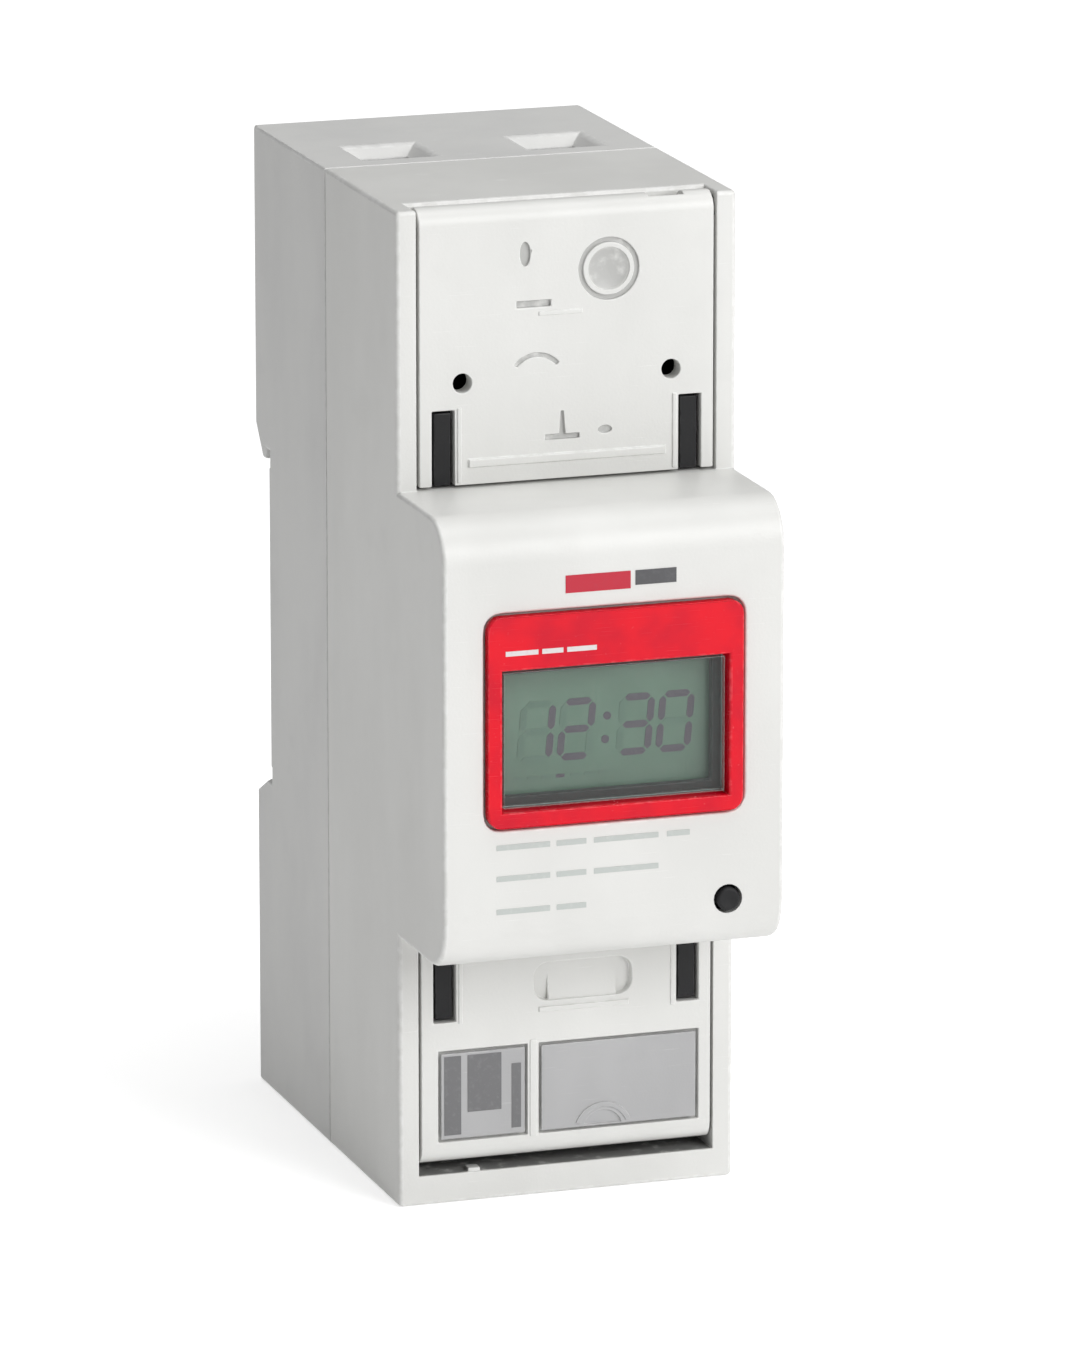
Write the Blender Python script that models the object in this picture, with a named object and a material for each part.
"""Two-module digital timer for a 35 mm top-hat rail, built piece by piece.

The origin is the middle of the face that rests on the rail. +Y points at the rail and the wall
behind it, -Y at the person who reads the display, +X to their right and +Z up. Sizes are in
millimetres and are turned into metres where each mesh is made.
"""

import math

import bmesh
import bpy
from mathutils import Matrix, Vector

MM = 0.001

# ---- Overall sizes -------------------------------------------------------------------------
BODY_WIDTH = 35.8
BODY_HEIGHT = 103.0
SHOULDER_DEPTH = 44.0
NOSE_RISE = 15.0
NOSE_HEIGHT = 46.0
REAR_DEPTH = 5.0
SEAM_DEPTH = 20.0
WALL = 1.8
GAP = 0.3
TONGUE_THICKNESS = 0.9
TONGUE_REACH = 0.9
TONGUE_ROOT = 2.5

# ---- Rail seat -----------------------------------------------------------------------------
RAIL_HEIGHT = 35.0
RAIL_PLAY = 0.3
FLANGE_SLOT = 1.5
HOOK_REACH = 1.1
HOOK_LEAD = 3.4
HOOK_LAND = 0.8
FOOT_LEAD = 1.8
SEAT_RELIEF_DEPTH = 0.3
SEAT_RELIEF_MARGIN = 0.6

# ---- Rail latch ----------------------------------------------------------------------------
LATCH_WIDTH = 16.0
LATCH_BACK_WIDTH = 12.0
LATCH_PLATE = 2.1
LATCH_BACK = 1.6
LATCH_BACK_INSET = 1.0
LATCH_GRIP = 1.1
LATCH_LAND = 0.5
LATCH_CLEARANCE = 0.1
LATCH_LEAD = 1.5
LATCH_SINK = 0.2
TOOL_SLOT_WIDTH = 5.6
TOOL_SLOT_HEIGHT = 1.4
TOOL_SLOT_INSET = 1.6
TOOL_ENTRY = 1.2
LATCH_WINDOW_WIDTH = 4.6
CHANNEL_FLOOR = 0.6
SPRING_LENGTH = 11.9
SPRING_RADIUS = 1.35
SPRING_WIRE = 0.45
SPRING_TURNS = 6
SPRING_STOP_HEIGHT = 1.6
SPRING_STOP_OFFSET = 10.0

# ---- Terminals -----------------------------------------------------------------------------
UPPER_TERMINALS = 2
LOWER_TERMINALS = 3
TERMINAL_INSET = 5.7
CAGE_WIDTH = 7.0
CAGE_LENGTH = 7.4
CAGE_SIDE = 0.8
CAGE_BASE = 1.2
CAGE_TOP = 1.4
CAGE_HEADROOM = 1.7
CAGE_BACK_DEPTH = 9.7
WIRE_SPACE = 4.9
CAGE_TRAVEL = 3.4
BAR_SIDE_PLAY = 0.4
BAR_WIDTH = CAGE_WIDTH - 2 * (CAGE_SIDE + BAR_SIDE_PLAY)
BAR_THICKNESS = 1.0
BAR_INSET = 0.7
BAR_UNDER_BOARD = 4.0
SCREW_RADIUS = 1.75
SCREW_HEAD_RADIUS = 3.3
SCREW_HEAD_HEIGHT = 1.9
SCREW_CHAMFER = 0.3
SCREW_SLOT = 1.0
SCREW_SLOT_DEPTH = 1.1
PORT_WIDTH = 5.6
PORT_FLARE = 1.2
GUIDE_BORE = 3.0
GUIDE_WALL = 1.1
SHROUD_PLATE = 1.5
CHAMBER_RIB = 0.7
RIB_FROM_BOARD = 1.2
RIB_FROM_SEAM = 1.5

# ---- Covers --------------------------------------------------------------------------------
BAY_DEPTH = 8.0
BAY_LEDGE = 1.4
COVER_THICKNESS = 1.6
COVER_SIDE_WALL = 2.1
BARREL_RADIUS = 1.8
BARREL_ARC = 250.0
COVER_PIN_RADIUS = 0.9
COVER_PIN_LENGTH = 1.4
COVER_SKIRT = 1.2
SIDE_SKIRT_DEPTH = 2.9
END_SKIRT_DEPTH = 1.9
SKIRT_FROM_BARREL = 1.9
SKIRT_INSET = 0.6
SLOT_INSET = 4.9
SLOT_WIDTH = 2.4
UPPER_SLOT_LENGTH = 8.0
LOWER_SLOT_LENGTH = 9.4
LUG_WIDTH = 1.8
LUG_SINK = 0.4
LUG_ROOT = 1.0
SEAL_HOLE_RADIUS = 1.0
SEAL_HOLE_INSET = 6.9
SEAL_HOLE_OFFSET = 2.7
LOWER_SILL = 3.1
LOWER_GROOVE = 1.3
FIELD_DEPTH = 0.7
FIELD_GAP_FROM_SLOT = 3.0
FIELD_FROM_HINGE = 0.6
FIELD_BAR = 1.2
FIELD_BAR_SHARE = 0.2
FIELD_LEFT_INSET = 0.5
MARKING_THICKNESS = 0.4
SCOOP_DEPTH = 0.8
SCOOP_LEFT = -3.5
SCOOP_WIDTH = 10.5
SCOOP_HEIGHT = 4.0
SCOOP_CORNER = 1.5
SCOOP_FROM_NOSE = 4.0

# ---- Display and button --------------------------------------------------------------------
NOSE_CORNER = 4.5
BEZEL_MARGIN = 4.5
BEZEL_HEIGHT = 21.6
BEZEL_CENTRE_Z = 2.5
BEZEL_PROUD = 0.5
BEZEL_FLANGE = 1.2
BEZEL_COLLAR_INSET = 1.1
BEZEL_SIDE_BAND = 1.5
BEZEL_TOP_BAND = 5.5
BEZEL_BOTTOM_BAND = 1.6
BEZEL_CORNER = 1.4
LENS_THICKNESS = 1.0
LENS_SINK = 0.6
LCD_FRAME_LIP = 1.0
LCD_FRAME_WALL = 1.5
LCD_BORDER = 1.0
LCD_THICKNESS = 2.2
LCD_OVERHANG = 1.6
STRIP_DEPTH = 2.2
STRIP_HEIGHT = 1.6
STRIP_INSET = 0.6
BOARD_THICKNESS = 1.6
BUTTON_INSET_X = 5.9
BUTTON_INSET_Z = 5.4
BUTTON_RADIUS = 1.2
BUTTON_PROUD = 0.3
BUTTON_FLANGE = 0.8
BUTTON_RIM = 1.0
BUTTON_STEM = 0.9
BUTTON_CHAMFER = 0.25
BUTTON_TRAVEL = 0.5
SWITCH_SIDE = 4.8
SWITCH_HEIGHT = 2.6
PLUNGER_RADIUS = 0.9
PLUNGER_DEPTH = 0.9

# ---- Electronics ---------------------------------------------------------------------------
POWER_BOARD_MARGIN = 0.5
POWER_BOARD_FROM_SCREWS = 11.0
PILLAR_RADIUS = 1.8
PILLAR_INSET = 2.2
PILLAR_FROM_HOOK = 1.0
RELAY_SIZE = (10.2, 12.3, 20.5)
FILM_CAPACITOR_SIZE = (7.0, 12.0, 17.5)
ELECTROLYTIC_RADIUS = 4.2
ELECTROLYTIC_HEIGHT = 11.8
VARISTOR_RADIUS = 4.5
VARISTOR_THICKNESS = 3.6
BRIDGE_SIZE = (6.0, 2.6, 6.0)
FUSE_RADIUS = 1.8
FUSE_LENGTH = 11.0
CASE_EDGE = 0.35
PARTS_FROM_EDGE = 1.0
RELAY_FROM_END = 2.0
PARTS_APART = 3.0
FILM_FROM_HEADER = 1.3
VARISTOR_LEFT = -3.0
VARISTOR_FROM_END = 10.0
FUSE_FROM_END = 2.0
HEADER_INSET = 2.5
HEADER_FROM_END = 0.8
HEADER_PIN = 0.64
HEADER_PINS = 6
HEADER_PITCH = 2.54
HEADER_BLOCK = 2.6
CELL_RADIUS = 10.0
CELL_THICKNESS = 3.2
CELL_PROUD = 0.5
HOLDER_WALL = 1.0
HOLDER_INSET = 0.8
CONTROLLER_SIDE = 7.0
CONTROLLER_HEIGHT = 1.4
CONTROLLER_FROM_END = 2.8
CRYSTAL_RADIUS = 1.0
CRYSTAL_FROM_CONTROLLER = 4.0
CRYSTAL_LENGTH = 6.0

# ---- Planes and places worked out from the sizes above -------------------------------------
HALF_WIDTH = BODY_WIDTH / 2
HALF_HEIGHT = BODY_HEIGHT / 2
INNER_X = HALF_WIDTH - WALL
INNER_Z = HALF_HEIGHT - WALL
BAY_X = HALF_WIDTH - COVER_SIDE_WALL
SHOULDER_Y = -SHOULDER_DEPTH
NOSE_Y = SHOULDER_Y - NOSE_RISE
NOSE_Z = NOSE_HEIGHT / 2
DECK_Y = SHOULDER_Y + BAY_DEPTH
OPENING_Z = RAIL_HEIGHT / 2 + RAIL_PLAY
HOOK_Z = OPENING_Z - HOOK_REACH
SEAT_Z = HOOK_Z - SEAT_RELIEF_MARGIN
FLOOR_Y = -WALL

# Not sizes of the timer: how far a joined block sinks into its neighbour, how far a cutter runs
# past a surface, and how far it runs past a wall that it opens.
SINK = 0.5
OVERCUT = 0.1
BEYOND = 1.0

CAGE_BACK_Y = -CAGE_BACK_DEPTH
WIRE_BACK_Y = CAGE_BACK_Y - CAGE_BASE
BAR_BACK_Y = WIRE_BACK_Y - WIRE_SPACE
BAR_FRONT_Y = BAR_BACK_Y - BAR_THICKNESS
CAGE_TOP_Y = BAR_FRONT_Y - CAGE_HEADROOM
CAGE_FRONT_Y = CAGE_TOP_Y - CAGE_TOP
SCREW_TIP_Y = BAR_FRONT_Y - GAP
SCREW_SHOULDER_Y = CAGE_FRONT_Y - CAGE_TRAVEL - GAP
SCREW_HEAD_Y = SCREW_SHOULDER_Y - SCREW_HEAD_HEIGHT
GUIDE_END_Y = SCREW_HEAD_Y - GAP
GUIDE_RADIUS = GUIDE_BORE + GUIDE_WALL
TERMINAL_Z = INNER_Z - TERMINAL_INSET

POWER_BOARD_BACK_Y = BAR_FRONT_Y - GAP
POWER_BOARD_FRONT_Y = POWER_BOARD_BACK_Y - BOARD_THICKNESS
POWER_PARTS_Y = POWER_BOARD_FRONT_Y - GAP
POWER_BOARD_X = INNER_X - POWER_BOARD_MARGIN
POWER_BOARD_Z = TERMINAL_Z - POWER_BOARD_FROM_SCREWS
SEAM_Y = min(-SEAM_DEPTH, POWER_BOARD_FRONT_Y - TONGUE_REACH - GAP)

NOSE_INNER_Y = NOSE_Y + WALL
LCD_FRAME_Y = NOSE_INNER_Y + GAP
LCD_FRONT_Y = LCD_FRAME_Y + LCD_FRAME_LIP + GAP
LCD_BACK_Y = LCD_FRONT_Y + LCD_THICKNESS
STRIP_FRONT_Y = LCD_BACK_Y + GAP
STRIP_BACK_Y = STRIP_FRONT_Y + STRIP_DEPTH
DISPLAY_BOARD_FRONT_Y = STRIP_BACK_Y + GAP
DISPLAY_BOARD_BACK_Y = DISPLAY_BOARD_FRONT_Y + BOARD_THICKNESS
DISPLAY_PARTS_Y = DISPLAY_BOARD_BACK_Y + GAP
DISPLAY_BOARD_X = INNER_X - 2 * GAP
DISPLAY_BOARD_Z = NOSE_Z - WALL - 2 * GAP

BEZEL_X = HALF_WIDTH - BEZEL_MARGIN
BEZEL_LOW_Z = BEZEL_CENTRE_Z - BEZEL_HEIGHT / 2
BEZEL_HIGH_Z = BEZEL_CENTRE_Z + BEZEL_HEIGHT / 2
BEZEL_FRONT_Y = NOSE_Y - BEZEL_PROUD
WINDOW_X = BEZEL_X - BEZEL_SIDE_BAND
WINDOW_LOW_Z = BEZEL_LOW_Z + BEZEL_BOTTOM_BAND
WINDOW_HIGH_Z = BEZEL_HIGH_Z - BEZEL_TOP_BAND
LCD_X = WINDOW_X + LCD_OVERHANG / 2
LCD_LOW_Z = WINDOW_LOW_Z - LCD_OVERHANG
LCD_HIGH_Z = WINDOW_HIGH_Z + LCD_OVERHANG

LATCH_BOTTOM_Z = -(HALF_HEIGHT - LATCH_SINK)
BUTTON_X = HALF_WIDTH - BUTTON_INSET_X
BUTTON_Z = -(NOSE_Z - BUTTON_INSET_Z)
SLOT_X = HALF_WIDTH - SLOT_INSET
HINGE_Y = SHOULDER_Y + BARREL_RADIUS
UPPER_HINGE_Z = HALF_HEIGHT - BARREL_RADIUS
LOWER_BAY_Z = HALF_HEIGHT - LOWER_SILL
LOWER_HINGE_Z = -(LOWER_BAY_Z - LOWER_GROOVE - BARREL_RADIUS + GAP)

ROUND = 32
SMALL_ROUND = 20


# ---- Tools for making meshes ---------------------------------------------------------------
def clear_scene():
    """Removes whatever the startup file holds."""
    for thing in list(bpy.data.objects):
        bpy.data.objects.remove(thing, do_unlink=True)


def material(name, colour, roughness, metallic=0.0, alpha=1.0):
    """A plain finish: colour, gloss and whether it is metal."""
    finish = bpy.data.materials.new(name)
    finish.use_nodes = True
    surface = finish.node_tree.nodes["Principled BSDF"]
    surface.inputs["Base Color"].default_value = (*colour, 1.0)
    surface.inputs["Roughness"].default_value = roughness
    surface.inputs["Metallic"].default_value = metallic
    surface.inputs["Alpha"].default_value = alpha
    finish.diffuse_color = (*colour, alpha)
    return finish


def object_from(name, mesh_builder, finish=None):
    """Turns a bmesh in millimetres into an object in metres, with its faces pointing out."""
    bmesh.ops.remove_doubles(mesh_builder, verts=mesh_builder.verts, dist=1e-5)
    bmesh.ops.recalc_face_normals(mesh_builder, faces=mesh_builder.faces)
    bmesh.ops.scale(mesh_builder, vec=(MM, MM, MM), verts=mesh_builder.verts)
    mesh = bpy.data.meshes.new(name)
    mesh_builder.to_mesh(mesh)
    mesh_builder.free()
    if finish:
        mesh.materials.append(finish)
    shape = bpy.data.objects.new(name, mesh)
    bpy.context.scene.collection.objects.link(shape)
    return shape


def slab(name, x, y, z, finish=None):
    """A block between two values on each axis."""
    builder = bmesh.new()
    bmesh.ops.create_cube(builder, size=1.0)
    for vert in builder.verts:
        vert.co = Vector(
            span[0] + (part + 0.5) * (span[1] - span[0]) for part, span in zip(vert.co, (x, y, z))
        )
    return object_from(name, builder, finish)


def prism(name, axis, outline, span, finish=None):
    """A flat outline carried along an axis. Along X it holds (y, z), along Y (x, z), along Z (x, y)."""
    builder = bmesh.new()
    ends = []
    for place in span:
        ring = []
        for first, second in outline:
            point = {"X": (place, first, second), "Y": (first, place, second), "Z": (first, second, place)}
            ring.append(builder.verts.new(point[axis]))
        builder.faces.new(ring)
        ends.append(ring)
    count = len(outline)
    for index in range(count):
        after = (index + 1) % count
        builder.faces.new((ends[0][index], ends[0][after], ends[1][after], ends[1][index]))
    return object_from(name, builder, finish)


def arc(centre, radius, start, end, steps):
    """Points on an arc, in degrees."""
    points = []
    for step in range(steps + 1):
        angle = math.radians(start + (end - start) * step / steps)
        points.append((centre[0] + radius * math.cos(angle), centre[1] + radius * math.sin(angle)))
    return points


def circle(centre, radius, count=ROUND):
    """A closed ring of points."""
    return arc(centre, radius, 0, 360 * (count - 1) / count, count - 1)


def rod(name, axis, centre, radius, span, finish=None, count=ROUND):
    """A round bar along an axis."""
    bar = prism(name, axis, circle(centre, radius, count), span, finish)
    smooth(bar)
    return bar


def rounded(x, z, radius, steps=5):
    """A rectangle with round corners, as (x, z) points."""
    points = []
    points += arc((x[1] - radius, z[1] - radius), radius, 0, 90, steps)
    points += arc((x[0] + radius, z[1] - radius), radius, 90, 180, steps)
    points += arc((x[0] + radius, z[0] + radius), radius, 180, 270, steps)
    points += arc((x[1] - radius, z[0] + radius), radius, 270, 360, steps)
    return points


def smooth(shape):
    """Shades the round sides smooth and keeps the edges sharp."""
    shape.data.shade_smooth()
    shape.data.set_sharp_from_angle(angle=math.radians(35))


def helper(shape, target):
    """Hides a Boolean helper, and parents it to the piece it shapes."""
    shape.hide_render = True
    shape.display_type = "WIRE"
    shape.parent = target
    shape.matrix_parent_inverse = Matrix.Translation(target.location).inverted()


def combine(target, other, operation):
    """Adds one Boolean modifier, which keeps the exact solver."""
    step = target.modifiers.new(f"{operation.lower()} {other.name}", "BOOLEAN")
    step.operation = operation
    step.object = other
    helper(other, target)


def cut(target, *cutters):
    """Takes each cutter away from the piece."""
    for cutter in cutters:
        combine(target, cutter, "DIFFERENCE")


def add(target, *pieces):
    """Grows the piece by each other shape."""
    for piece in pieces:
        combine(target, piece, "UNION")


def set_origin(shape, x, y, z):
    """Moves a piece's origin, such as onto its joint's axis, and leaves the piece where it is."""
    point = Vector((x, y, z)) * MM
    shape.data.transform(Matrix.Translation(-point))
    shape.location = point
    for child in bpy.data.objects:
        if child.parent == shape:
            child.matrix_parent_inverse = Matrix.Translation(point).inverted()


def grown(span, margin):
    """A span with a margin at both ends."""
    return (span[0] - margin, span[1] + margin)


def both(size):
    """A span centred on zero."""
    return (-size, size)


# ---- Terminal places -----------------------------------------------------------------------
def terminal_places():
    """Number, x, and +1 for the upper or -1 for the lower end, of each terminal."""
    places = []
    for count, side in ((UPPER_TERMINALS, 1), (LOWER_TERMINALS, -1)):
        guide_reach = INNER_X - GUIDE_RADIUS - GAP - CHAMBER_RIB
        cage_reach = INNER_X - TONGUE_THICKNESS - 2 * GAP - CAGE_WIDTH / 2
        reach = min(guide_reach, cage_reach) if side < 0 else HALF_WIDTH / 2
        for index in range(count):
            x = -reach + 2 * reach * index / (count - 1)
            places.append((len(places) + 1, x, side))
    return places


def ordered(low, high):
    """A span in rising order."""
    return (min(low, high), max(low, high))


# ---- Housing -------------------------------------------------------------------------------
def rear_outline():
    """The back shell's side view: the rail seat, the fixed hook above it and the foot below it."""
    return [
        (SEAM_Y, -HALF_HEIGHT),
        (REAR_DEPTH, -HALF_HEIGHT),
        (REAR_DEPTH, -OPENING_Z - FOOT_LEAD),
        (FLANGE_SLOT, -OPENING_Z),
        (-SEAT_RELIEF_DEPTH, -OPENING_Z),
        (-SEAT_RELIEF_DEPTH, -SEAT_Z),
        (0.0, -SEAT_Z),
        (0.0, SEAT_Z),
        (-SEAT_RELIEF_DEPTH, SEAT_Z),
        (-SEAT_RELIEF_DEPTH, OPENING_Z),
        (FLANGE_SLOT, OPENING_Z),
        (FLANGE_SLOT, HOOK_Z),
        (FLANGE_SLOT + HOOK_LAND, HOOK_Z),
        (REAR_DEPTH, HOOK_Z + HOOK_LEAD),
        (REAR_DEPTH, HALF_HEIGHT),
        (SEAM_Y, HALF_HEIGHT),
    ]


def port_cutters(number, x, side):
    """A wire port through the end wall, with a flare round its mouth."""
    half = PORT_WIDTH / 2
    y = (BAR_BACK_Y - OVERCUT, WIRE_BACK_Y + OVERCUT)
    wall = ordered(side * (INNER_Z - BEYOND), side * (HALF_HEIGHT + BEYOND))
    hole = slab(f"port_{number}", (x - half, x + half), y, wall)
    builder = bmesh.new()
    rings = []
    for reach, place in ((0.0, HALF_HEIGHT - PORT_FLARE), (PORT_FLARE + BEYOND, HALF_HEIGHT + BEYOND)):
        corners = [
            (x - half - reach, y[0] - reach),
            (x + half + reach, y[0] - reach),
            (x + half + reach, y[1] + reach),
            (x - half - reach, y[1] + reach),
        ]
        rings.append([builder.verts.new((cx, cy, side * place)) for cx, cy in corners])
    builder.faces.new(rings[0])
    builder.faces.new(rings[1])
    for index in range(4):
        after = (index + 1) % 4
        builder.faces.new((rings[0][index], rings[0][after], rings[1][after], rings[1][index]))
    return hole, object_from(f"port_flare_{number}", builder)


def chamber_ribs():
    """Walls between neighbouring terminals, from the shell's floor to just behind the seam."""
    ribs = []
    places = terminal_places()
    for first, second in zip(places, places[1:]):
        if first[2] != second[2]:
            continue
        middle = (first[1] + second[1]) / 2
        z = ordered(first[2] * (POWER_BOARD_Z + RIB_FROM_BOARD), first[2] * (INNER_Z + SINK))
        x = (middle - CHAMBER_RIB / 2, middle + CHAMBER_RIB / 2)
        ribs.append(slab(f"chamber_rib_{first[0]}", x, (SEAM_Y + RIB_FROM_SEAM, FLOOR_Y + SINK), z))
    return ribs


def board_pillars():
    """Four pillars that the power board stands on."""
    pillars = []
    for column, row in ((-1, -1), (1, -1), (-1, 1), (1, 1)):
        centre = (column * (POWER_BOARD_X - PILLAR_INSET), row * (HOOK_Z - PILLAR_FROM_HOOK))
        span = (POWER_BOARD_BACK_Y + GAP, FLOOR_Y + SINK)
        pillars.append(rod(f"pillar_{column}_{row}", "Y", centre, PILLAR_RADIUS, span, count=12))
    return pillars


def spring_stop_z():
    """Top of the fixed block that the latch spring stands on."""
    return -(HALF_HEIGHT - SPRING_STOP_OFFSET)


def make_rear_housing(plastic):
    """The back shell: hollow, with the rail seat, latch channel, wire ports and inner ribs."""
    shell = prism("rear_housing", "X", rear_outline(), both(HALF_WIDTH), plastic)
    pocket_low = OPENING_Z + FOOT_LEAD + WALL
    pocket_high = HOOK_Z + HOOK_LEAD + WALL
    channel_x = LATCH_WIDTH / 2 + GAP
    back_x = LATCH_BACK_WIDTH / 2 + GAP
    pocket_y = (FLOOR_Y - BEYOND, REAR_DEPTH - WALL)
    lip_y = CHANNEL_FLOOR + GAP + LATCH_PLATE + GAP
    channel_z = (-HALF_HEIGHT - BEYOND, -OPENING_Z + LATCH_LAND)
    side_pocket = (channel_x + WALL, INNER_X)
    cut(
        shell,
        slab("main_hollow", both(INNER_X), (SEAM_Y - BEYOND, FLOOR_Y), both(INNER_Z)),
        slab("upper_pocket", both(INNER_X), pocket_y, (pocket_high, INNER_Z)),
        slab("lower_pocket_right", side_pocket, pocket_y, (-INNER_Z, -pocket_low)),
        slab("lower_pocket_left", (-side_pocket[1], -side_pocket[0]), pocket_y, (-INNER_Z, -pocket_low)),
        slab("latch_channel", both(channel_x), (CHANNEL_FLOOR, lip_y), channel_z),
        slab("latch_slot", both(back_x), (lip_y - OVERCUT, REAR_DEPTH + BEYOND), channel_z),
    )
    stop_x = LATCH_WINDOW_WIDTH / 2 - GAP
    stop_z = (spring_stop_z() - SPRING_STOP_HEIGHT, spring_stop_z())
    stop_y = (CHANNEL_FLOOR - SINK, REAR_DEPTH - GAP)
    add(shell, slab("spring_stop", both(stop_x), stop_y, stop_z), *board_pillars(), *chamber_ribs())
    for number, x, side in terminal_places():
        cut(shell, *port_cutters(number, x, side))
    return shell


def front_outline():
    """The front shell's side view, with the raised nose and its round corners."""
    corner_y = NOSE_Y + NOSE_CORNER
    corner_z = NOSE_Z - NOSE_CORNER
    outline = [(SEAM_Y - GAP, HALF_HEIGHT), (SHOULDER_Y, HALF_HEIGHT), (SHOULDER_Y, NOSE_Z)]
    outline += arc((corner_y, corner_z), NOSE_CORNER, 90, 180, 6)
    outline += arc((corner_y, -corner_z), NOSE_CORNER, 180, 270, 6)
    outline += [(SHOULDER_Y, -NOSE_Z), (SHOULDER_Y, -HALF_HEIGHT), (SEAM_Y - GAP, -HALF_HEIGHT)]
    return outline


def seam_tongue():
    """A thin tongue that reaches into the back shell all round and hides the seam."""
    tongue_x = INNER_X - GAP
    tongue_z = INNER_Z - GAP
    y = (SEAM_Y - TONGUE_ROOT, SEAM_Y + TONGUE_REACH)
    tongue = slab("seam_tongue", both(tongue_x), y, both(tongue_z))
    root_y = (y[0], SEAM_Y - GAP - OVERCUT)
    add(tongue, slab("tongue_root", both(INNER_X + SINK), root_y, both(INNER_Z + SINK)))
    hollow_x = both(tongue_x - TONGUE_THICKNESS)
    hollow_z = both(tongue_z - TONGUE_THICKNESS)
    hollow = slab("tongue_hollow", hollow_x, grown(y, BEYOND), hollow_z)
    cut(tongue, hollow)
    return tongue


def cover_pin_hole(name, z):
    """A blind hole in each side wall for a cover's pins, as one bar that reaches into both."""
    reach = BAY_X + COVER_PIN_LENGTH + GAP
    return rod(name, "X", (HINGE_Y, z), COVER_PIN_RADIUS + GAP, both(reach), count=SMALL_ROUND)


def make_front_housing(plastic):
    """The front shell: a terminal bay at each end and the nose between them."""
    shell = prism("front_housing", "X", front_outline(), both(HALF_WIDTH), plastic)
    deck_back = DECK_Y + WALL
    bay_y = (SHOULDER_Y - BEYOND, DECK_Y)
    window_y = (DECK_Y - BEYOND, deck_back + BEYOND)
    window_x = both(BAY_X - BAY_LEDGE)
    cut(
        shell,
        slab("main_hollow_front", both(INNER_X), (deck_back, SEAM_Y + BEYOND), both(INNER_Z)),
        slab("nose_hollow", both(INNER_X), (NOSE_INNER_Y, deck_back + BEYOND), both(NOSE_Z - WALL)),
        slab("upper_bay", both(BAY_X), bay_y, (NOSE_Z, UPPER_HINGE_Z)),
        slab("lower_bay", both(BAY_X), bay_y, (-LOWER_BAY_Z, -NOSE_Z)),
        slab("upper_window", window_x, window_y, window_z(1)),
        slab("lower_window", window_x, window_y, window_z(-1)),
        slab(
            "barrel_space",
            both(BAY_X),
            (SHOULDER_Y - BEYOND, HINGE_Y + BARREL_RADIUS + GAP),
            (UPPER_HINGE_Z - BEYOND, HALF_HEIGHT + BEYOND),
        ),
        cover_pin_hole("upper_pin_hole", UPPER_HINGE_Z),
        cover_pin_hole("lower_pin_hole", LOWER_HINGE_Z),
    )
    flange_hole = rounded(
        both(BEZEL_X + GAP), (BEZEL_LOW_Z - GAP, BEZEL_HIGH_Z + GAP), BEZEL_CORNER + GAP
    )
    collar = BEZEL_COLLAR_INSET - GAP
    collar_x = BEZEL_X - collar
    collar_z = (BEZEL_LOW_Z + collar, BEZEL_HIGH_Z - collar)
    flange_y = BEZEL_FRONT_Y + BEZEL_FLANGE + GAP
    cut(
        shell,
        prism("bezel_seat", "Y", flange_hole, (NOSE_Y - BEYOND, flange_y)),
        slab("bezel_hole", both(collar_x), (flange_y - OVERCUT, NOSE_INNER_Y + OVERCUT), collar_z),
        rod(
            "button_hole",
            "Y",
            (BUTTON_X, BUTTON_Z),
            BUTTON_RADIUS + GAP,
            (NOSE_Y - BEYOND, NOSE_INNER_Y + OVERCUT),
            count=SMALL_ROUND,
        ),
    )
    add(shell, seam_tongue())
    return shell


# ---- Terminal shrouds ----------------------------------------------------------------------
def window_z(side):
    """The hole in a bay's floor that its shroud shows through."""
    far = (UPPER_HINGE_Z if side > 0 else LOWER_BAY_Z) - BAY_LEDGE
    return ordered(side * (NOSE_Z + BAY_LEDGE), side * far)


def make_shroud(name, side, slot_length, plastic):
    """The black insert: a plate behind the bay's floor, screwdriver guides and two lugs."""
    plate_front = DECK_Y + WALL + GAP
    plate_back = plate_front + SHROUD_PLATE
    z = ordered(side * (NOSE_Z - WALL + GAP), side * (INNER_Z - GAP))
    insert = slab(name, both(INNER_X - GAP), (plate_front, plate_back), z, plastic)
    shown = window_z(side)
    add(
        insert,
        slab(
            f"{name}_face",
            both(BAY_X - BAY_LEDGE - GAP),
            (DECK_Y, plate_back - SINK),
            (shown[0] + GAP, shown[1] - GAP),
        ),
    )
    for column in (-1, 1):
        x = (column * SLOT_X - LUG_WIDTH / 2, column * SLOT_X + LUG_WIDTH / 2)
        tip = side * (NOSE_Z + slot_length - GAP)
        root_z = ordered(side * (NOSE_Z + BAY_LEDGE + GAP), tip)
        lug_z = ordered(side * (NOSE_Z + GAP), tip)
        root = slab(f"{name}_lug_root_{column}", x, (DECK_Y - LUG_ROOT, DECK_Y + SINK), root_z)
        lug = slab(f"{name}_lug_{column}", x, (SHOULDER_Y + LUG_SINK, DECK_Y - LUG_ROOT + SINK), lug_z)
        add(insert, root, lug)
    places = [place for place in terminal_places() if place[2] == side]
    for number, x, _ in places:
        centre = (x, side * TERMINAL_Z)
        span = (plate_back - SINK, GUIDE_END_Y)
        add(insert, rod(f"guide_{number}", "Y", centre, GUIDE_RADIUS, span, count=ROUND))
    for number, x, _ in places:
        centre = (x, side * TERMINAL_Z)
        span = (DECK_Y - BEYOND, GUIDE_END_Y + BEYOND)
        cut(insert, rod(f"guide_bore_{number}", "Y", centre, GUIDE_BORE, span, count=ROUND))
    return insert


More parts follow.
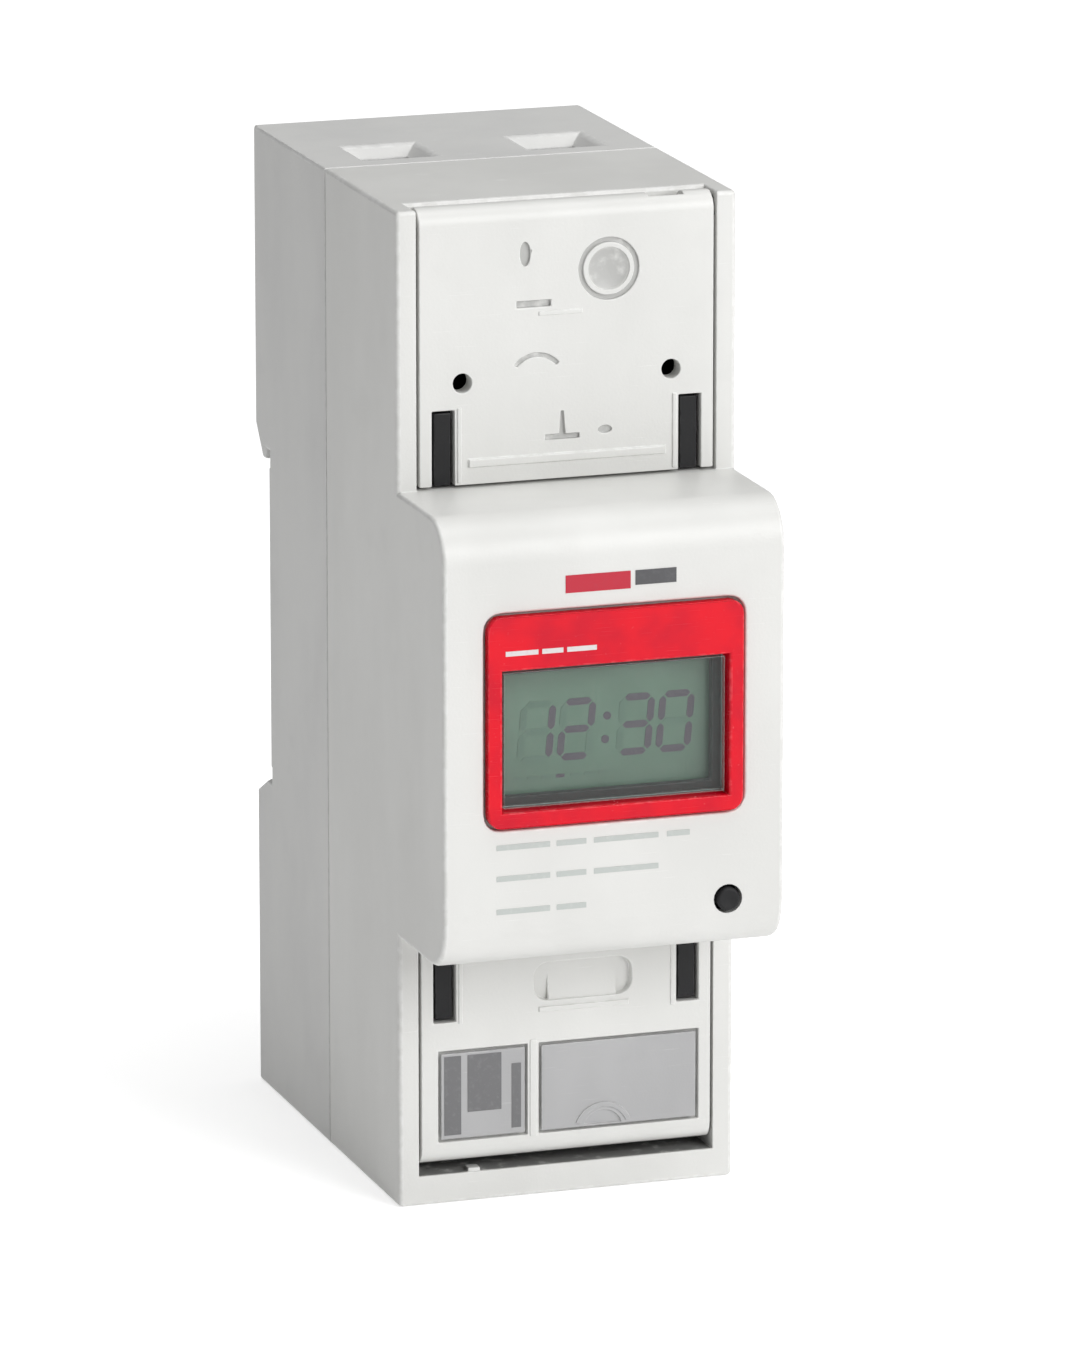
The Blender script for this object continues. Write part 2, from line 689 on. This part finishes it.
# ---- Terminals -----------------------------------------------------------------------------
def make_screw(number, x, z, metal):
    """A terminal screw with a slotted head that faces the front."""
    name = f"terminal_screw_{number}"
    profile = [
        (0.0, SCREW_HEAD_Y),
        (SCREW_HEAD_RADIUS - SCREW_CHAMFER, SCREW_HEAD_Y),
        (SCREW_HEAD_RADIUS, SCREW_HEAD_Y + SCREW_CHAMFER),
        (SCREW_HEAD_RADIUS, SCREW_SHOULDER_Y),
        (SCREW_RADIUS, SCREW_SHOULDER_Y),
        (SCREW_RADIUS, SCREW_TIP_Y - SCREW_CHAMFER),
        (SCREW_RADIUS - SCREW_CHAMFER, SCREW_TIP_Y),
        (0.0, SCREW_TIP_Y),
    ]
    screw = turned(name, profile, (x, z), metal)
    slot_y = (SCREW_HEAD_Y - BEYOND, SCREW_HEAD_Y + SCREW_SLOT_DEPTH)
    reach = SCREW_HEAD_RADIUS + BEYOND
    half = SCREW_SLOT / 2
    cut(screw, slab(f"screw_slot_{number}", (x - reach, x + reach), slot_y, (z - half, z + half)))
    set_origin(screw, x, SCREW_HEAD_Y, z)
    return screw


def turned(name, profile, centre, finish, count=SMALL_ROUND):
    """A profile of (radius, y) points turned about an axis along Y."""
    builder = bmesh.new()
    rings = []
    for radius, y in profile:
        if radius == 0.0:
            rings.append([builder.verts.new((centre[0], y, centre[1]))])
            continue
        ring = [builder.verts.new((cx, y, cz)) for cx, cz in circle(centre, radius, count)]
        rings.append(ring)
    for first, second in zip(rings, rings[1:]):
        for index in range(count):
            after = (index + 1) % count
            corners = [first[index % len(first)], second[index % len(second)]]
            if len(second) > 1:
                corners.append(second[after])
            if len(first) > 1:
                corners.append(first[after])
            builder.faces.new(corners)
    shape = object_from(name, builder, finish)
    smooth(shape)
    return shape


def make_cage(number, x, side, metal):
    """A clamp cage: a box open towards the port, which the screw draws to the front."""
    z = side * TERMINAL_Z
    half = CAGE_WIDTH / 2
    span_z = (z - CAGE_LENGTH / 2, z + CAGE_LENGTH / 2)
    cage = slab(f"terminal_cage_{number}", (x - half, x + half), (CAGE_FRONT_Y, CAGE_BACK_Y), span_z, metal)
    inner = half - CAGE_SIDE
    hollow_y = (CAGE_TOP_Y, WIRE_BACK_Y)
    hole_y = (CAGE_FRONT_Y - BEYOND, CAGE_TOP_Y + BEYOND)
    cut(
        cage,
        slab(f"cage_hollow_{number}", (x - inner, x + inner), hollow_y, grown(span_z, BEYOND)),
        rod(f"cage_thread_{number}", "Y", (x, z), SCREW_RADIUS + GAP, hole_y, count=SMALL_ROUND),
    )
    set_origin(cage, x, CAGE_FRONT_Y, z)
    return cage


def make_contact_bar(number, x, side, metal):
    """The current bar that the wire is clamped against, which runs to the power board."""
    half = BAR_WIDTH / 2
    outer = TERMINAL_Z + CAGE_LENGTH / 2 - BAR_INSET
    z = ordered(side * outer, side * (POWER_BOARD_Z - BAR_UNDER_BOARD))
    bar = slab(f"contact_bar_{number}", (x - half, x + half), (BAR_FRONT_Y, BAR_BACK_Y), z, metal)
    set_origin(bar, x, BAR_BACK_Y, side * TERMINAL_Z)
    return bar


# ---- Covers --------------------------------------------------------------------------------
def cover_outline(side, hinge_z):
    """A cover's side view: a plate with a round barrel at its outer end."""
    near = side * (NOSE_Z + GAP)
    points = [(SHOULDER_Y, near)]
    points += arc((HINGE_Y, hinge_z), BARREL_RADIUS, 180, 180 - side * BARREL_ARC, 14)
    points.append((SHOULDER_Y + COVER_THICKNESS, near))
    return points


def make_cover(name, side, hinge_z, slot_length, plastic):
    """A terminal cover: plate, barrel, pins, skirts and lug slots."""
    half = BAY_X - GAP
    cover = prism(name, "X", cover_outline(side, hinge_z), both(half), plastic)
    near = side * (NOSE_Z + GAP)
    back = SHOULDER_Y + COVER_THICKNESS
    far = hinge_z - side * (BARREL_RADIUS + SKIRT_FROM_BARREL)
    pin_reach = half + COVER_PIN_LENGTH
    pin_centre = (HINGE_Y, hinge_z)
    add(cover, rod(f"{name}_pins", "X", pin_centre, COVER_PIN_RADIUS, both(pin_reach), count=SMALL_ROUND))
    for column in (-1, 1):
        x = ordered(column * half, column * (half - COVER_SKIRT))
        skirt_z = ordered(near + side * SKIRT_INSET, far)
        add(cover, slab(f"{name}_skirt_{column}", x, (back - SINK, back + SIDE_SKIRT_DEPTH), skirt_z))
    end_z = ordered(near, near + side * COVER_SKIRT)
    end_x = SLOT_X - SLOT_WIDTH / 2 - SINK
    add(cover, slab(f"{name}_end_skirt", both(end_x), (back - SINK, back + END_SKIRT_DEPTH), end_z))
    slot_end = side * (NOSE_Z + slot_length)
    for column in (-1, 1):
        x = (column * SLOT_X - SLOT_WIDTH / 2, column * SLOT_X + SLOT_WIDTH / 2)
        slot_z = ordered(near - side * BEYOND, slot_end)
        cut(cover, slab(f"{name}_slot_{column}", x, (SHOULDER_Y - BEYOND, back + BEYOND), slot_z))
    return cover


def shape_upper_cover(cover):
    """The upper cover's own feature: a hole for a seal's wire beside each lug."""
    z = NOSE_Z + UPPER_SLOT_LENGTH + SEAL_HOLE_OFFSET
    through = (SHOULDER_Y - BEYOND, SHOULDER_Y + COVER_THICKNESS + BEYOND)
    for column in (-1, 1):
        centre = (column * (HALF_WIDTH - SEAL_HOLE_INSET), z)
        cut(cover, rod(f"seal_hole_{column}", "Y", centre, SEAL_HOLE_RADIUS, through, count=SMALL_ROUND))


def field_z():
    """Height range of the two marking fields on the lower cover."""
    top = -(NOSE_Z + LOWER_SLOT_LENGTH + FIELD_GAP_FROM_SLOT)
    return (LOWER_HINGE_Z + FIELD_FROM_HINGE, top)


def field_spans():
    """Left and right marking fields, with a bar between them."""
    edge = SLOT_X + SLOT_WIDTH / 2
    bar = -HALF_WIDTH * FIELD_BAR_SHARE
    return (-edge + FIELD_LEFT_INSET, bar - FIELD_BAR / 2), (bar + FIELD_BAR / 2, edge)


def shape_lower_cover(cover):
    """The lower cover's own features: a thumb scoop and two shallow marking fields."""
    y = (SHOULDER_Y - BEYOND, SHOULDER_Y + FIELD_DEPTH)
    for index, x in enumerate(field_spans()):
        cut(cover, slab(f"field_{index}", x, y, field_z()))
    top = -(NOSE_Z + SCOOP_FROM_NOSE)
    x = (SCOOP_LEFT, SCOOP_LEFT + SCOOP_WIDTH)
    shape = rounded(x, (top - SCOOP_HEIGHT, top), SCOOP_CORNER)
    cut(cover, prism("thumb_scoop", "Y", shape, (SHOULDER_Y - BEYOND, SHOULDER_Y + SCOOP_DEPTH)))


def make_marking_plate(name, x, plastic):
    """A thin inlay in one marking field."""
    y = (SHOULDER_Y, SHOULDER_Y + MARKING_THICKNESS)
    z = field_z()
    plate = slab(name, (x[0] + GAP, x[1] - GAP), y, (z[0] + GAP, z[1] - GAP), plastic)
    set_origin(plate, (x[0] + x[1]) / 2, SHOULDER_Y, (z[0] + z[1]) / 2)
    return plate


# ---- Display -------------------------------------------------------------------------------
def make_bezel(plastic):
    """The glossy frame: a flange on the nose and a collar that reaches through its wall."""
    outline = rounded(both(BEZEL_X), (BEZEL_LOW_Z, BEZEL_HIGH_Z), BEZEL_CORNER)
    flange_back = BEZEL_FRONT_Y + BEZEL_FLANGE
    bezel = prism("display_bezel", "Y", outline, (BEZEL_FRONT_Y, flange_back), plastic)
    inset = BEZEL_COLLAR_INSET
    collar_z = (BEZEL_LOW_Z + inset, BEZEL_HIGH_Z - inset)
    collar_y = (flange_back - SINK, NOSE_INNER_Y)
    add(bezel, slab("bezel_collar", both(BEZEL_X - inset), collar_y, collar_z))
    window_y = (BEZEL_FRONT_Y - BEYOND, NOSE_INNER_Y + BEYOND)
    cut(bezel, slab("bezel_window", both(WINDOW_X), window_y, (WINDOW_LOW_Z, WINDOW_HIGH_Z)))
    set_origin(bezel, 0.0, BEZEL_FRONT_Y, BEZEL_CENTRE_Z)
    return bezel


def make_lens(clear):
    """The clear window, set just below the bezel's front."""
    y = (BEZEL_FRONT_Y + LENS_SINK, BEZEL_FRONT_Y + LENS_SINK + LENS_THICKNESS)
    z = (WINDOW_LOW_Z + GAP, WINDOW_HIGH_Z - GAP)
    lens = slab("window_lens", both(WINDOW_X - GAP), y, z, clear)
    set_origin(lens, 0.0, y[0], (z[0] + z[1]) / 2)
    return lens


def make_lcd_frame(plastic):
    """The black holder behind the nose wall, which borders the glass and boxes it in."""
    x = LCD_X + GAP + LCD_FRAME_WALL
    z = (LCD_LOW_Z - GAP - LCD_FRAME_WALL, LCD_HIGH_Z + GAP + LCD_FRAME_WALL)
    frame = slab("lcd_frame", both(x), (LCD_FRAME_Y, STRIP_BACK_Y), z, plastic)
    pocket_z = (LCD_LOW_Z - GAP, LCD_HIGH_Z + GAP)
    pocket_y = (LCD_FRONT_Y - GAP, STRIP_BACK_Y + BEYOND)
    sight_z = (WINDOW_LOW_Z + LCD_BORDER, WINDOW_HIGH_Z - LCD_BORDER)
    sight_y = (LCD_FRAME_Y - BEYOND, LCD_FRONT_Y + BEYOND)
    cut(
        frame,
        slab("lcd_pocket", both(LCD_X + GAP), pocket_y, pocket_z),
        slab("lcd_sight", both(WINDOW_X - LCD_BORDER), sight_y, sight_z),
    )
    set_origin(frame, 0.0, LCD_FRAME_Y, BEZEL_CENTRE_Z)
    return frame


def make_lcd_panel(glass):
    """The liquid-crystal glass."""
    z = (LCD_LOW_Z, LCD_HIGH_Z)
    panel = slab("lcd_panel", both(LCD_X), (LCD_FRONT_Y, LCD_BACK_Y), z, glass)
    set_origin(panel, 0.0, LCD_FRONT_Y, (z[0] + z[1]) / 2)
    return panel


def make_elastomer_strip(name, z, rubber):
    """A striped rubber strip that joins the glass to its board."""
    strip = slab(name, both(LCD_X - STRIP_INSET), (STRIP_FRONT_Y, STRIP_BACK_Y), z, rubber)
    set_origin(strip, 0.0, STRIP_FRONT_Y, (z[0] + z[1]) / 2)
    return strip


def make_button(plastic):
    """The push button: a stem through the nose wall, with a flange behind it."""
    front = NOSE_Y - BUTTON_PROUD
    flange_y = NOSE_INNER_Y + GAP
    back = flange_y + BUTTON_FLANGE + BUTTON_STEM
    profile = [
        (0.0, front),
        (BUTTON_RADIUS - BUTTON_CHAMFER, front),
        (BUTTON_RADIUS, front + BUTTON_CHAMFER),
        (BUTTON_RADIUS, flange_y),
        (BUTTON_RADIUS + BUTTON_RIM, flange_y),
        (BUTTON_RADIUS + BUTTON_RIM, flange_y + BUTTON_FLANGE),
        (BUTTON_RADIUS, flange_y + BUTTON_FLANGE),
        (BUTTON_RADIUS, back),
        (0.0, back),
    ]
    button = turned("push_button", profile, (BUTTON_X, BUTTON_Z), plastic)
    set_origin(button, BUTTON_X, front, BUTTON_Z)
    return back


def make_tact_switch(button_back, body_plastic, plunger_plastic):
    """The switch on the display board, and its plunger, which moves with the button."""
    half = SWITCH_SIDE / 2
    front = DISPLAY_BOARD_FRONT_Y - GAP - SWITCH_HEIGHT
    x = (BUTTON_X - half, BUTTON_X + half)
    z = (BUTTON_Z - half, BUTTON_Z + half)
    switch = slab("tact_switch", x, (front, DISPLAY_BOARD_FRONT_Y - GAP), z, body_plastic)
    centre = (BUTTON_X, BUTTON_Z)
    plunger_back = front + PLUNGER_DEPTH
    well = (front - BEYOND, plunger_back + BUTTON_TRAVEL + GAP)
    cut(switch, rod("plunger_well", "Y", centre, PLUNGER_RADIUS + GAP, well, count=SMALL_ROUND))
    set_origin(switch, BUTTON_X, front, BUTTON_Z)
    span = (button_back + GAP, plunger_back)
    plunger = rod("tact_plunger", "Y", centre, PLUNGER_RADIUS, span, plunger_plastic, SMALL_ROUND)
    set_origin(plunger, BUTTON_X, span[0], BUTTON_Z)


# ---- Electronics ---------------------------------------------------------------------------
def block_on_board(name, left, low, size, finish):
    """A block that stands on the power board's front, from its left and lower edges."""
    x = (left, left + size[0])
    y = (POWER_PARTS_Y - size[1], POWER_PARTS_Y)
    z = (low, low + size[2])
    block = slab(name, x, y, z, finish)
    edges = block.modifiers.new("soft edges", "BEVEL")
    edges.width = CASE_EDGE * MM
    edges.segments = 1
    set_origin(block, (x[0] + x[1]) / 2, POWER_PARTS_Y, (z[0] + z[1]) / 2)
    return block


def header_places():
    """x of the board-to-board header's middle, and its height range."""
    x = POWER_BOARD_X - HEADER_INSET
    low = -(DISPLAY_BOARD_Z - HEADER_FROM_END)
    return x, (low, low + HEADER_PINS * HEADER_PITCH)


def make_header(plastic):
    """Two pin blocks and the long pins that tie the power board to the display board."""
    x, z = header_places()
    half = HEADER_BLOCK / 2
    near = (DISPLAY_PARTS_Y, DISPLAY_PARTS_Y + HEADER_BLOCK)
    far = (POWER_PARTS_Y - HEADER_BLOCK, POWER_PARTS_Y)
    header = slab("board_header", (x - half, x + half), far, z, plastic)
    add(header, slab("header_far_block", (x - half, x + half), near, z))
    pin = HEADER_PIN / 2
    for index in range(HEADER_PINS):
        middle = z[0] + (index + 0.5) * HEADER_PITCH
        span = (near[1] - SINK, far[0] + SINK)
        add(header, slab(f"header_pin_{index}", (x - pin, x + pin), span, (middle - pin, middle + pin)))
    set_origin(header, x, POWER_PARTS_Y, (z[0] + z[1]) / 2)


def make_power_parts(finishes):
    """The power board and what stands on it."""
    board_y = (POWER_BOARD_FRONT_Y, POWER_BOARD_BACK_Y)
    slab("power_board", both(POWER_BOARD_X), board_y, both(POWER_BOARD_Z), finishes["board"])
    left = -POWER_BOARD_X + PARTS_FROM_EDGE
    relay_low = -POWER_BOARD_Z + RELAY_FROM_END
    block_on_board("relay", left, relay_low, RELAY_SIZE, finishes["relay"])
    film_left = POWER_BOARD_X - PARTS_FROM_EDGE - FILM_CAPACITOR_SIZE[0]
    film_low = header_places()[1][1] + FILM_FROM_HEADER
    block_on_board("film_capacitor", film_left, film_low, FILM_CAPACITOR_SIZE, finishes["film"])
    can_low = relay_low + RELAY_SIZE[2] + PARTS_APART
    can = (left + ELECTROLYTIC_RADIUS, can_low + ELECTROLYTIC_RADIUS)
    can_y = (POWER_PARTS_Y - ELECTROLYTIC_HEIGHT, POWER_PARTS_Y)
    barrel = rod("electrolytic_capacitor", "Y", can, ELECTROLYTIC_RADIUS, can_y, finishes["can"])
    set_origin(barrel, can[0], POWER_PARTS_Y, can[1])
    bridge_low = can_low + 2 * ELECTROLYTIC_RADIUS + PARTS_APART
    block_on_board("bridge_rectifier", left, bridge_low, BRIDGE_SIZE, finishes["black"])
    disc_x = (VARISTOR_LEFT, VARISTOR_LEFT + VARISTOR_THICKNESS)
    disc = (POWER_PARTS_Y - VARISTOR_RADIUS, POWER_BOARD_Z - VARISTOR_FROM_END - VARISTOR_RADIUS)
    varistor = rod("varistor", "X", disc, VARISTOR_RADIUS, disc_x, finishes["blue"])
    set_origin(varistor, disc_x[0], POWER_PARTS_Y, disc[1])
    fuse = (POWER_PARTS_Y - FUSE_RADIUS, POWER_BOARD_Z - FUSE_FROM_END - FUSE_RADIUS)
    tube = rod("fuse_resistor", "X", fuse, FUSE_RADIUS, (left, left + FUSE_LENGTH), finishes["ceramic"], 16)
    set_origin(tube, left, POWER_PARTS_Y, fuse[1])


def make_display_parts(finishes):
    """The display board and what stands on its back."""
    board_y = (DISPLAY_BOARD_FRONT_Y, DISPLAY_BOARD_BACK_Y)
    slab("display_board", both(DISPLAY_BOARD_X), board_y, both(DISPLAY_BOARD_Z), finishes["board"])
    radius = CELL_RADIUS + GAP + HOLDER_WALL
    centre = (-DISPLAY_BOARD_X + HOLDER_INSET + radius, DISPLAY_BOARD_Z - HOLDER_INSET - radius)
    depth = DISPLAY_PARTS_Y + HOLDER_WALL
    holder_y = (DISPLAY_PARTS_Y, depth + GAP + CELL_THICKNESS - CELL_PROUD)
    holder = rod("battery_holder", "Y", centre, radius, holder_y, finishes["black"])
    well = (depth, holder_y[1] + BEYOND)
    cut(holder, rod("cell_well", "Y", centre, CELL_RADIUS + GAP, well))
    set_origin(holder, centre[0], DISPLAY_PARTS_Y, centre[1])
    cell_y = (depth + GAP, depth + GAP + CELL_THICKNESS)
    cell = rod("coin_cell", "Y", centre, CELL_RADIUS, cell_y, finishes["steel"])
    set_origin(cell, centre[0], cell_y[0], centre[1])
    low = -DISPLAY_BOARD_Z + CONTROLLER_FROM_END
    half = CONTROLLER_SIDE / 2
    chip_y = (DISPLAY_PARTS_Y, DISPLAY_PARTS_Y + CONTROLLER_HEIGHT)
    chip = slab("microcontroller", both(half), chip_y, (low, low + CONTROLLER_SIDE), finishes["black"])
    set_origin(chip, 0.0, DISPLAY_PARTS_Y, low + half)
    crystal_y = DISPLAY_PARTS_Y + CRYSTAL_RADIUS
    crystal_z = (low, low + CRYSTAL_LENGTH)
    crystal_x = -half - CRYSTAL_FROM_CONTROLLER
    crystal = rod("crystal", "Z", (crystal_x, crystal_y), CRYSTAL_RADIUS, crystal_z, finishes["steel"], 16)
    set_origin(crystal, crystal_x, DISPLAY_PARTS_Y, low)


# ---- Rail latch ----------------------------------------------------------------------------
def latch_outline():
    """The latch's side view: a plate with a nose that hooks behind the rail's lower edge."""
    front = CHANNEL_FLOOR + GAP
    back = front + LATCH_PLATE
    seat = FLANGE_SLOT + LATCH_CLEARANCE
    tip = -OPENING_Z + RAIL_PLAY + LATCH_GRIP
    bottom = LATCH_BOTTOM_Z
    return [
        (front, bottom),
        (back, bottom),
        (back, tip - LATCH_LEAD),
        (seat + LATCH_LAND, tip),
        (seat, tip),
        (seat, -OPENING_Z - GAP),
        (front, -OPENING_Z - GAP),
    ]


def make_latch(plastic):
    """The latch that slides down to free the rail, with a window for its spring."""
    latch = prism("din_latch", "X", latch_outline(), both(LATCH_WIDTH / 2), plastic)
    front = CHANNEL_FLOOR + GAP
    back = front + LATCH_PLATE
    bottom = LATCH_BOTTOM_Z
    raised_z = (bottom, -OPENING_Z - FOOT_LEAD - LATCH_BACK_INSET)
    add(latch, slab("latch_back", both(LATCH_BACK_WIDTH / 2), (back - SINK, back + LATCH_BACK), raised_z))
    spring_foot = spring_stop_z() + GAP
    window_y = (CHANNEL_FLOOR - BEYOND, REAR_DEPTH + BEYOND)
    window_low = spring_stop_z() - SPRING_STOP_HEIGHT - GAP
    window_high = spring_foot + SPRING_LENGTH + GAP
    tool_z = (bottom + TOOL_SLOT_INSET, bottom + TOOL_SLOT_INSET + TOOL_SLOT_HEIGHT)
    middle = (front + back + LATCH_BACK) / 2
    entry_y = (middle - TOOL_ENTRY / 2, middle + TOOL_ENTRY / 2)
    entry_z = (bottom - BEYOND, tool_z[0] + OVERCUT)
    cut(
        latch,
        slab("spring_window", both(LATCH_WINDOW_WIDTH / 2), window_y, (window_low, window_high)),
        slab("tool_slot", both(TOOL_SLOT_WIDTH / 2), window_y, tool_z),
        slab("tool_entry", both(TOOL_SLOT_WIDTH / 2), entry_y, entry_z),
    )
    set_origin(latch, 0.0, front, bottom)
    return spring_foot


def make_spring(foot, metal):
    """The coil spring that pushes the latch up, standing on the housing's stop."""
    axis_y = (CHANNEL_FLOOR + GAP + REAR_DEPTH - GAP) / 2
    sides = 6
    steps = 12 * SPRING_TURNS
    wire = SPRING_WIRE / 2
    low = foot + wire
    rise = SPRING_LENGTH - 2 * wire
    builder = bmesh.new()
    rings = []
    for step in range(steps + 1):
        angle = math.tau * SPRING_TURNS * step / steps
        outward = Vector((math.cos(angle), math.sin(angle), 0.0))
        centre = Vector((0.0, axis_y, low + rise * step / steps)) + outward * SPRING_RADIUS
        ring = []
        for side in range(sides):
            turn = math.tau * side / sides
            offset = outward * math.cos(turn) + Vector((0.0, 0.0, math.sin(turn)))
            ring.append(builder.verts.new(centre + offset * wire))
        rings.append(ring)
    for first, second in zip(rings, rings[1:]):
        for side in range(sides):
            after = (side + 1) % sides
            builder.faces.new((first[side], first[after], second[after], second[side]))
    builder.faces.new(rings[0])
    builder.faces.new(rings[-1])
    spring = object_from("latch_spring", builder, metal)
    smooth(spring)
    set_origin(spring, 0.0, axis_y, foot)


# ---- Assembly ------------------------------------------------------------------------------
def make_materials():
    """Every finish on the object."""
    return {
        "white": material("white housing plastic", (0.84, 0.84, 0.82), 0.45),
        "grey": material("light grey housing plastic", (0.62, 0.62, 0.61), 0.5),
        "black": material("black plastic", (0.02, 0.02, 0.022), 0.45),
        "red": material("red gloss plastic", (0.62, 0.01, 0.02), 0.15),
        "clear": material("clear window", (0.9, 0.95, 0.93), 0.05, alpha=0.25),
        "lcd": material("display glass", (0.12, 0.2, 0.14), 0.2),
        "marking": material("grey marking plate", (0.45, 0.45, 0.45), 0.5),
        "rubber": material("contact strip rubber", (0.35, 0.33, 0.32), 0.8),
        "board": material("circuit board", (0.02, 0.16, 0.06), 0.35),
        "relay": material("relay case", (0.05, 0.16, 0.4), 0.35),
        "film": material("film capacitor case", (0.7, 0.5, 0.05), 0.4),
        "can": material("capacitor sleeve", (0.03, 0.03, 0.08), 0.3),
        "blue": material("varistor coating", (0.03, 0.12, 0.45), 0.4),
        "ceramic": material("fuse resistor body", (0.75, 0.72, 0.65), 0.6),
        "steel": material("plated steel", (0.62, 0.62, 0.63), 0.3, metallic=1.0),
        "brass": material("tinned brass", (0.72, 0.6, 0.35), 0.3, metallic=1.0),
        "latch": material("grey latch plastic", (0.3, 0.3, 0.31), 0.5),
    }


def main():
    clear_scene()
    finishes = make_materials()
    make_rear_housing(finishes["grey"])
    make_front_housing(finishes["white"])
    make_shroud("upper_terminal_shroud", 1, UPPER_SLOT_LENGTH, finishes["black"])
    make_shroud("lower_terminal_shroud", -1, LOWER_SLOT_LENGTH, finishes["black"])
    upper = make_cover("upper_terminal_cover", 1, UPPER_HINGE_Z, UPPER_SLOT_LENGTH, finishes["white"])
    lower = make_cover("lower_terminal_cover", -1, LOWER_HINGE_Z, LOWER_SLOT_LENGTH, finishes["white"])
    shape_upper_cover(upper)
    shape_lower_cover(lower)
    set_origin(upper, 0.0, HINGE_Y, UPPER_HINGE_Z)
    set_origin(lower, 0.0, HINGE_Y, LOWER_HINGE_Z)
    for name, x in zip(("marking_plate_left", "marking_plate_right"), field_spans()):
        make_marking_plate(name, x, finishes["marking"])
    for number, x, side in terminal_places():
        make_screw(number, x, side * TERMINAL_Z, finishes["steel"])
        make_cage(number, x, side, finishes["steel"])
        make_contact_bar(number, x, side, finishes["brass"])
    make_bezel(finishes["red"])
    make_lens(finishes["clear"])
    make_lcd_frame(finishes["black"])
    make_lcd_panel(finishes["lcd"])
    upper_strip = (LCD_HIGH_Z - STRIP_HEIGHT, LCD_HIGH_Z)
    lower_strip = (LCD_LOW_Z, LCD_LOW_Z + STRIP_HEIGHT)
    make_elastomer_strip("elastomer_strip_upper", upper_strip, finishes["rubber"])
    make_elastomer_strip("elastomer_strip_lower", lower_strip, finishes["rubber"])
    button_back = make_button(finishes["black"])
    make_tact_switch(button_back, finishes["steel"], finishes["black"])
    make_power_parts(finishes)
    make_display_parts(finishes)
    make_header(finishes["black"])
    spring_foot = make_latch(finishes["latch"])
    make_spring(spring_foot, finishes["steel"])


main()
